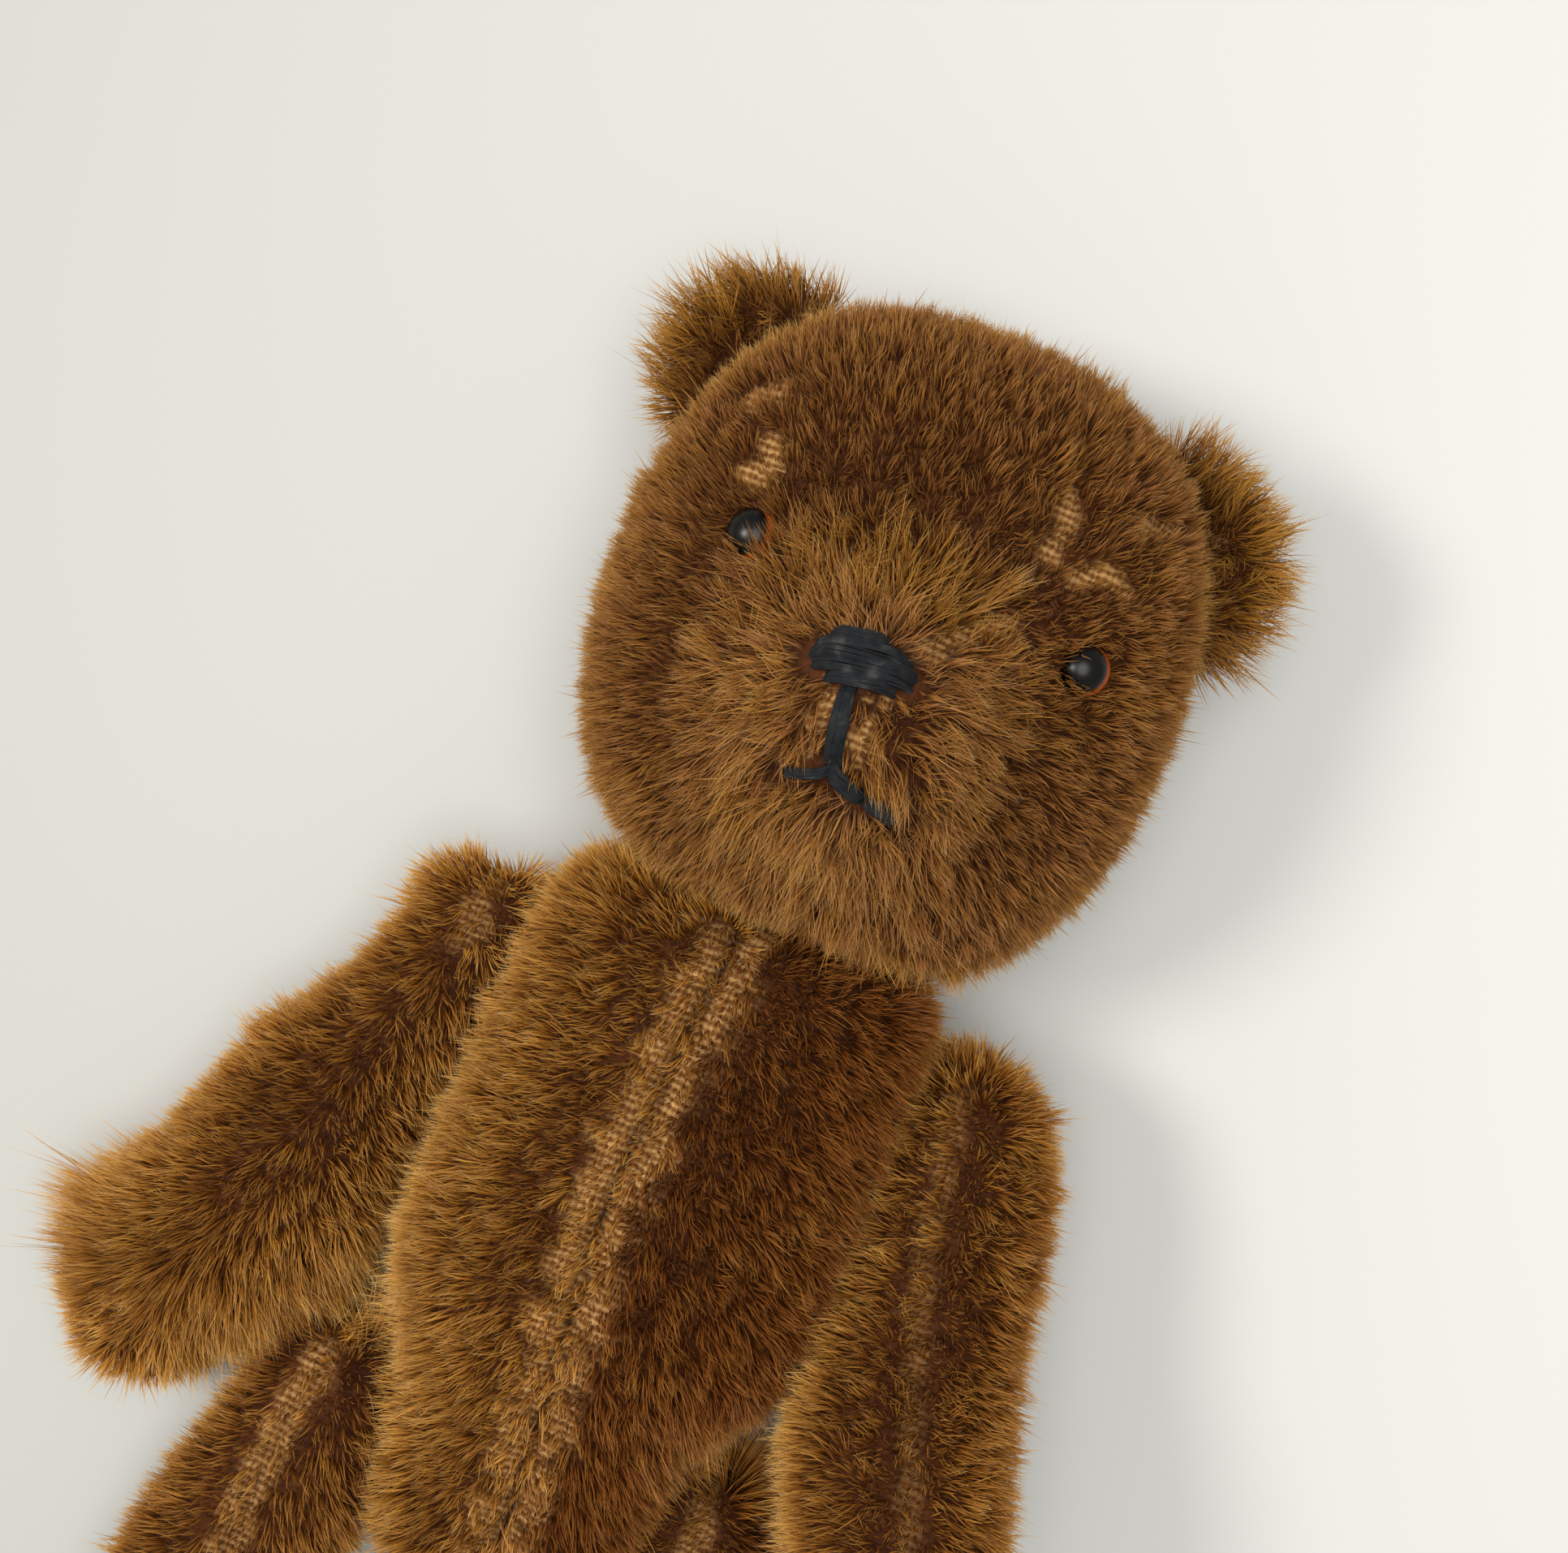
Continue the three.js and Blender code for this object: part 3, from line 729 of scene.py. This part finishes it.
def trunk_pile(part, places, up):
    x, y, z = places.T
    middle, slant, low_tone, high_tone = PARTING[part]
    side = (np.tanh((x - middle - slant * (y + 10)) / 2.0) + 1) / 2
    left, right = np.array(BODY_COMB["left"]), np.array(BODY_COMB["right"])
    comb = side[:, None] * left + (1 - side)[:, None] * right
    bare = bareness(part, places)
    away = seam_distance(part, places)
    beside = np.exp(-(((away - SEAM_HALF[part]) / 1.5) ** 2))
    # Low on the hips nothing rubs, so the pile has stayed long and fills the gap to the limbs.
    hip = np.exp(-(((y + 42.5) / 4.5) ** 2)) * (1 - ease(z, 9, 17))
    # Where the cloth faces sideways, at the edges seen from above, the tone is raised: painted rim
    # light.
    rim = ease(1 - np.abs(up[:, 2]), 0.45, 1)
    return {
        "comb": unit(comb),
        "lean": 0.15 + 0.7 * bare,
        "tuft": 0.1 + 0.12 * bare,
        "length": (2.4 - 0.3 * beside) * (1 - 0.62 * bare) * (1 + 1.4 * hip),
        "bend": np.full(len(x), 0.1),
        "gather": 0.4 + 0.3 * bare,
        # On the body the two sides' tones are painted light and shade.
        "tone": (1 - side) * low_tone + side * high_tone + 0.4 * bare + 0.5 * rim
        + 0.09 * wobble(places, 7.0, 14),
        "width": 0.105 + 0.01 * bare,
        "dense": (1 - 0.35 * bare) * facing(up) * (1 + hip),
    }


def paw_pile(part, places, up):
    """The right arm: its paw is rubbed to a pale tuft, and its shoulder has a longer fringe."""
    look = trunk_pile(part, places, up)
    paw = ease(-places[:, 1], 45, 53)
    shoulder = ease(places[:, 1], -13, -6)
    look["length"] = look["length"] * (1 + 0.1 * paw + 0.25 * shoulder)
    look["tone"] = look["tone"] + 0.35 * paw + 0.1 * shoulder
    look["tuft"] = look["tuft"] + 0.15 * paw
    return look


# %% Pile of the ears
EAR_BASE = {"left": (15.2, 33.0), "right": (-13.2, 35.2)}


def ear_pile(part, places, up):
    side = part.split("_")[1]
    away = places[:, :2] - np.array(EAR_BASE[side])
    far = np.linalg.norm(away, axis=1)
    rim = ease(far, 5.0, 10.0)
    bare = bareness(part, places)
    comb = np.column_stack([away, np.zeros(len(away))])
    return {
        "comb": unit(comb),
        "lean": 0.5 + 0.5 * rim,
        "tuft": np.full(len(far), 0.28),
        "length": (1.9 + 1.7 * rim) * (1 - 0.6 * bare),
        "bend": np.full(len(far), 0.15),
        "gather": np.full(len(far), 0.8),
        # Dark in the cup as painted shade of the hollow, pale at the rim where the tips are faded.
        "tone": 0.08 + 1.05 * rim + 0.2 * bare,
        "width": np.full(len(far), 0.105),
        "dense": (1 - 0.6 * bare) * np.where(up[:, 2] < -0.6, 0.6, 1.0),
    }


# %% Plant the pile
limbs = [skins[part] for part in ("arm_left", "arm_right", "leg_left", "leg_right")]


def upper(places):
    return places[:, 2] > 15


def lower(places):
    return places[:, 2] <= 15


for half, keep, per_mm2, seed in (("front", upper, 20, 21), ("back", lower, 14, 22)):
    name = f"head_pile_{half}"
    plant(name, "head", skins["head"], "head", head_pile, per_mm2, seed, [skins["body"]], keep)
for side in ("left", "right"):
    ear = skins[f"ear_{side}"]
    plant(f"ear_{side}_pile", "head", ear, f"ear_{side}", ear_pile, 22, 23, [skins["head"]])
beside_body = limbs + [skins["head"]]
for half, keep, per_mm2, seed in (("front", upper, 20, 24), ("back", lower, 12, 25)):
    name = f"body_pile_{half}"
    plant(name, "body", skins["body"], "body", trunk_pile, per_mm2, seed, beside_body, keep)
for seed, part in enumerate(("arm_left", "arm_right", "leg_left", "leg_right")):
    others = [skins["body"], skins["head"]] + [limb for limb in limbs if limb != skins[part]]
    field = paw_pile if part == "arm_right" else trunk_pile
    per_mm2 = 18 if part.startswith("arm") else 12
    plant(f"{part}_pile", part, skins[part], part, field, per_mm2, 30 + seed, others)

# %% [markdown]
# ## Embroidery
# The nose and the mouth are worked in black cotton floss, laid over the end of the muzzle. Floss is
# a bundle of loose filaments, so each stitch is a row of fine curved tubes side by side, with small
# differences. Curves make such tubes at once, and they are turned into one mesh.

# %% Material: cotton floss
def make_floss_material():
    material, tree, shader = new_material("cotton_floss_black_faded")
    place = add(tree, "ShaderNodeTexCoord").outputs["Object"]
    fade = add(tree, "ShaderNodeTexNoise", Vector=place, Scale=900.0, Detail=4.0).outputs["Fac"]
    tree.links.new(
        ramp(tree, fade, [(0.3, "17181b"), (0.55, "26282b"), (0.75, "4a4a47")]),
        shader.inputs["Base Color"],
    )
    fuzz = add(tree, "ShaderNodeTexNoise", Vector=place, Scale=9000.0, Detail=2.0).outputs["Fac"]
    bump = add(tree, "ShaderNodeBump", Strength=0.6, Distance=0.03 * MM, Height=fuzz)
    tree.links.new(bump.outputs["Normal"], shader.inputs["Normal"])
    shader.inputs["Roughness"].default_value = 0.85
    shader.inputs["Specular IOR Level"].default_value = 0.25
    return material


floss_material = make_floss_material()

# %% Places on the face
face_tree = tree_of([skins["head"]])


def over_face(x, y):
    """The place on the head's cloth over (x, y), and the way out of it."""
    hit, out, _, _ = face_tree.ray_cast(Vector(to_frame((x, y, 60))), Vector((0, 0, -1)))
    return Vector(hit), Vector(out)


def smooth_way(x, y):
    """The way out of the cloth, averaged over 2.4 mm, so that it does not jump at a fold."""
    around = [over_face(x + dx, y + dy)[1] for dx in (-1.2, 0, 1.2) for dy in (-1.2, 0, 1.2)]
    return sum(around, Vector()).normalized()


# %% Stitches
FILAMENT_POINTS = 6


def stitch(curve, points, radius):
    """Adds one filament to the curve."""
    spline = curve.splines.new("NURBS")
    spline.points.add(len(points) - 1)
    for point, place in zip(spline.points, points):
        point.co = (*place, 1)
        point.radius = radius
    spline.use_endpoint_u = True
    spline.order_u = 3


def lay_stitches(name, rows, node):
    """One piece of embroidery. rows are stitches: start, end, width, filaments and crown."""
    draw = np.random.default_rng(len(name))
    curve = bpy.data.curves.new(name, "CURVE")
    curve.dimensions = "3D"
    curve.bevel_depth = MM
    curve.bevel_resolution = 1
    curve.resolution_u = 3
    curve.use_fill_caps = True
    for start, end, width, filaments, crown in rows:
        start, end = np.array(start, float), np.array(end, float)
        way = unit(end - start)
        side = np.array((-way[1], way[0]))
        steps = np.linspace(0, 1, FILAMENT_POINTS)
        outs = [smooth_way(*(start + (end - start) * t)) for t in steps]
        for k in range(filaments):
            shift = (k / max(1, filaments - 1) - 0.5) * width
            bow = crown * (1 - (2 * shift / width) ** 2) if width else crown
            jitter = draw.normal(0, 0.05, (FILAMENT_POINTS, 2))
            points = []
            for i, t in enumerate(steps):
                arch = math.sin(math.pi * t)
                flat = start + (end - start) * t + side * shift * (0.8 + 0.2 * arch)
                flat = flat + jitter[i]
                # The ends go down into the cloth.
                lift = -0.5 if i in (0, FILAMENT_POINTS - 1) else 0.85 + bow * arch
                points.append(over_face(*flat)[0] + outs[i] * lift * MM)
            stitch(curve, points, 0.1 * draw.uniform(0.8, 1.3))
    thing = new_object(name, curve)
    tubes = bpy.data.meshes.new_from_object(
        thing.evaluated_get(bpy.context.evaluated_depsgraph_get())
    )
    bpy.data.objects.remove(thing)
    piece = new_object(name, tubes)
    piece.data.materials.clear()
    piece.data.materials.append(floss_material)
    piece.data.shade_smooth()
    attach(piece, "head")
    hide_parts(node)
    print(name, len(piece.data.polygons), "faces")


NOSE_ROWS = [
    # (start), (end), width, filaments, crown: satin stitches that run across the nose
    ((-4.3, 18.7), (0.9, 19.4), 0.95, 9, 0.3),
    ((-5.1, 18.0), (2.6, 18.9), 0.95, 9, 0.5),
    ((-5.3, 17.3), (3.2, 18.3), 0.95, 9, 0.6),
    ((-4.9, 16.7), (3.1, 17.8), 0.95, 9, 0.5),
    ((-3.6, 16.2), (2.0, 17.0), 0.95, 9, 0.3),
]
MOUTH_ROWS = [
    ((-1.5, 16.7), (-0.35, 10.3), 1.15, 11, 0.2),
    ((-0.1, 10.8), (-3.6, 9.4), 0.6, 7, 0.2),
    ((-0.8, 11.0), (2.6, 9.6), 0.9, 9, 0.2),
    ((1.7, 10.1), (5.2, 9.4), 1.0, 10, 0.2),
]
lay_stitches("nose_floss", NOSE_ROWS, "nose_stitching")
lay_stitches("mouth_floss", MOUTH_ROWS, "mouth_stitching")

# %% [markdown]
# ## Glass eyes
# Small bears have blown glass eyes: a clear amber dome with a black pupil behind it. Seen through
# the dome, the amber shows as a thin crescent beside the pupil. The eye is spun from a profile, and
# an attribute holds how far each place is from the pupil's middle.

# %% Material: amber glass eye
def make_eye_material():
    material, tree, shader = new_material("amber_glass_with_black_pupil")
    iris = add(tree, "ShaderNodeAttribute", {"attribute_name": "iris"}).outputs["Fac"]
    colour = ramp(
        tree, iris,
        [(0.0, "060504"), (0.76, "080605"), (0.82, "8a3708"), (0.92, "c8600f"), (1, "6a2406")],
    )
    tree.links.new(colour, shader.inputs["Base Color"])
    shader.inputs["Roughness"].default_value = 0.3  # scuffed, so a lamp makes a soft sheen
    shader.inputs["Specular IOR Level"].default_value = 0.35
    shader.inputs["IOR"].default_value = 1.52
    return material


eye_material = make_eye_material()

# %% Glass eyes
# Half the outline of the glass, as radius and height in mm: a low dome with a rounded back.
EYE_PROFILE = [
    (0.0, 1.45), (0.75, 1.33), (1.35, 1.0), (1.8, 0.5), (1.95, -0.1), (1.6, -0.6), (0.0, -0.8),
]
EYE_LIFT = 0.15 * MM  # how far the widest part of the glass stands above the cloth
IRIS_REACH = 2.4 * MM  # the radius at which the iris pattern ends


def make_eye(side):
    node = frame["nodes"][f"eye_{side}"]
    places = mesh_places(node.data)
    x, y, _ = from_frame(places[np.argmax(places[:, 2])])
    centre = over_face(x, y)[0]
    out = (smooth_way(x, y) + Vector((0, 0, 0.8))).normalized()
    bm = bmesh.new()
    spine = [bm.verts.new((r * MM, 0, h * MM)) for r, h in EYE_PROFILE]
    edges = [bm.edges.new(pair) for pair in zip(spine[:-1], spine[1:])]
    bmesh.ops.spin(
        bm, geom=spine + edges, cent=(0, 0, 0), axis=(0, 0, 1), angle=2 * math.pi,
        steps=28, use_merge=True,
    )
    bmesh.ops.remove_doubles(bm, verts=bm.verts, dist=1e-6)
    bmesh.ops.recalc_face_normals(bm, faces=bm.faces)
    pupil = Vector((-0.62, 0.0)) * MM  # the pupil sits off centre, so amber shows on one side
    iris = [min(1.0, (Vector(v.co.xy) - pupil).length / IRIS_REACH) for v in bm.verts]
    turn = Vector((0, 0, 1)).rotation_difference(out).to_matrix().to_4x4()
    seat = Matrix.Translation(centre + out * EYE_LIFT) @ turn
    bmesh.ops.transform(bm, verts=bm.verts, matrix=seat)
    mesh = bpy.data.meshes.new(f"glass_eye_{side}")
    bm.to_mesh(mesh)
    bm.free()
    add_attribute(mesh, "iris", iris)
    mesh.shade_smooth()
    mesh.materials.append(eye_material)
    eye = new_object(mesh.name, mesh)
    rounder = eye.modifiers.new("rounder", "SUBSURF")
    rounder.levels = rounder.render_levels = 2
    apply_modifiers(eye)
    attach(eye, "head")
    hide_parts(node.name)
    print(eye.name, len(eye.data.polygons), "faces, at", [round(v, 1) for v in from_frame(centre)])


for side in ("left", "right"):
    make_eye(side)

# %% [markdown]
# ## Inside the joints
# Discs of pressed card, steel washers and cotter pins hold the limbs on. They are inside the bear,
# and the CAD solids already have their shape, so they only get the right surface: fibrous card, and
# steel that has lost its shine.

# %% Materials: pressed card, steel and wood wool
def make_card_material():
    material, tree, shader = new_material("grey_card_pressed")
    place = add(tree, "ShaderNodeTexCoord").outputs["Object"]
    fibres = add(tree, "ShaderNodeTexNoise", Vector=place, Scale=2500.0, Detail=5.0).outputs["Fac"]
    colour = ramp(tree, fibres, [(0.3, "8a7658"), (0.7, "b3a082")])
    tree.links.new(colour, shader.inputs["Base Color"])
    bump = add(tree, "ShaderNodeBump", Strength=0.4, Distance=0.05 * MM, Height=fibres)
    tree.links.new(bump.outputs["Normal"], shader.inputs["Normal"])
    shader.inputs["Roughness"].default_value = 0.9
    return material


def make_steel_material():
    material, tree, shader = new_material("steel_wire_dulled")
    place = add(tree, "ShaderNodeTexCoord").outputs["Object"]
    spots = add(tree, "ShaderNodeTexNoise", Vector=place, Scale=1200.0, Detail=4.0).outputs["Fac"]
    colour = ramp(tree, spots, [(0.4, "8f8c86"), (0.65, "6e5a48")])
    tree.links.new(colour, shader.inputs["Base Color"])
    shader.inputs["Metallic"].default_value = 1.0
    shader.inputs["Roughness"].default_value = 0.45
    return material


def make_wood_wool_material():
    material, tree, shader = new_material("wood_wool_packed")
    place = add(tree, "ShaderNodeTexCoord").outputs["Object"]
    strands = add(
        tree, "ShaderNodeTexWave", {"wave_type": "BANDS", "bands_direction": "DIAGONAL"},
        Vector=place, Scale=420.0, Distortion=18.0, Detail=3.0, Detail_Scale=2.0,
    ).outputs["Fac"]
    colour = ramp(tree, strands, [(0, "8f7040"), (1, "d9c08c")])
    tree.links.new(colour, shader.inputs["Base Color"])
    bump = add(tree, "ShaderNodeBump", Strength=1.0, Distance=0.3 * MM, Height=strands)
    tree.links.new(bump.outputs["Normal"], shader.inputs["Normal"])
    shader.inputs["Roughness"].default_value = 0.9
    return material


INNER = {
    "card": make_card_material(),
    "steel": make_steel_material(),
    "wood_wool": make_wood_wool_material(),
}
slots = {row["node"]: row["material_slot"] for row in frame["record"]["subparts"]}
for node, slot in slots.items():
    if slot in INNER:
        thing = frame["nodes"][node]
        thing.data.materials.clear()
        thing.data.materials.append(INNER[slot])

# %% [markdown]
# ## Wood wool
# Under the cloth the bear is packed hard with wood wool, long curly shavings. Each stuffing solid
# is copied, cut into even faces by a voxel remesh, and pushed in unevenly by smooth noise, so that
# an opened seam would show a lumpy bundle. The cloth hides it, so its faces are coarse. At 2 mm the
# pockets round the body's pins close up, and the pins pass through the bundle.

# %% Stuffing
for part in ("body", "head", "arm_left", "arm_right", "leg_left", "leg_right"):
    bundle = outer_skin(f"{part}_wood_wool", f"{part}_stuffing", None)
    remesh = bundle.modifiers.new("even faces", "REMESH")
    remesh.mode = "VOXEL"
    remesh.voxel_size = 2.0 * MM
    apply_modifiers(bundle)
    lumps = 0.12 * (wobble(from_frame(mesh_places(bundle.data)), 2.5, 40) - 1.0)
    moved = mesh_places(bundle.data) + mesh_normals(bundle.data) * (lumps * MM)[:, None]
    put_places(bundle.data, moved)
    bundle.data.shade_smooth()
    bundle.data.materials.clear()
    bundle.data.materials.append(INNER["wood_wool"])
    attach(bundle, part)
    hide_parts(f"{part}_stuffing")
    print(bundle.name, len(bundle.data.polygons), "faces")

# %% [markdown]
# ## Table, light and camera
# The bear lies on a pale table whose colour is painted greyer to the left and whiter to the right,
# as painted light and shade. A ceiling lamp above it and a window lamp on its right give two soft
# shadows, and a pale world fills them. The camera looks straight down from close by.

# %% Table
def make_table():
    material, tree, shader = new_material("table_matt_white")
    place = add(tree, "ShaderNodeTexCoord").outputs["Object"]
    # Painted light and shade: the board's colour is greyer on the left than on the right, a slow
    # change over 24 cm across the view that stands in for uneven light.
    across = add(
        tree, "ShaderNodeMapping", Vector=place,
        Location=(0.5, 0, 0), Rotation=(0, 0, -math.radians(22.1)), Scale=(4.2, 4.2, 4.2),
    )
    painted_light_falloff = add(tree, "ShaderNodeTexGradient", Vector=across.outputs["Vector"]).outputs["Fac"]
    colour = ramp(tree, painted_light_falloff, [(0.0, "bebeb8"), (1.0, "fbfaf7")])
    tree.links.new(colour, shader.inputs["Base Color"])
    shader.inputs["Roughness"].default_value = 0.6
    bm = bmesh.new()
    bmesh.ops.create_grid(bm, x_segments=1, y_segments=1, size=1.5)
    mesh = bpy.data.meshes.new("table")
    bm.to_mesh(mesh)
    bm.free()
    mesh.materials.append(material)
    table = new_object("table", mesh)


make_table()

# %% Light
def area_lamp(name, place, size, power, colour):
    """A round lamp that looks at the bear. place and size are in metres, power is in watts."""
    lamp = bpy.data.lights.new(name, "AREA")
    lamp.shape = "DISK"
    lamp.size = size
    lamp.energy = power
    lamp.color = dye(colour)[:3]
    thing = bpy.data.objects.new(name, lamp)
    thing.location = Vector(place)
    thing.rotation_euler = (-Vector(place)).to_track_quat("-Z", "Y").to_euler()
    bpy.context.scene.collection.objects.link(thing)


area_lamp("ceiling", (0.02, 0.05, 0.50), 0.36, 1.25, "fffefa")
area_lamp("window", (-0.42, -0.04, 0.55), 0.2, 1.95, "fffdf8")
world = bpy.data.worlds.new("pale room")
bpy.context.scene.world = world
world.use_nodes = True
world.node_tree.nodes["Background"].inputs["Color"].default_value = dye("f2f4f2")
world.node_tree.nodes["Background"].inputs["Strength"].default_value = 0.38
bpy.context.scene.view_settings.view_transform = "Standard"  # keeps the warm browns saturated

# %% Camera
CAMERA_PLACE = (-3.2, 9.0, 195.0)  # mm from the neck
CAMERA_TURN = 22.1  # degrees about its line of sight
camera_data = bpy.data.cameras.new("camera")
camera_data.sensor_width = 36
camera_data.lens = 54.3
camera_data.clip_start = 0.01
camera = bpy.data.objects.new("camera", camera_data)
camera.location = Vector(to_frame(CAMERA_PLACE))
camera.rotation_euler = (0, 0, math.radians(CAMERA_TURN))
bpy.context.scene.collection.objects.link(camera)
bpy.context.scene.camera = camera
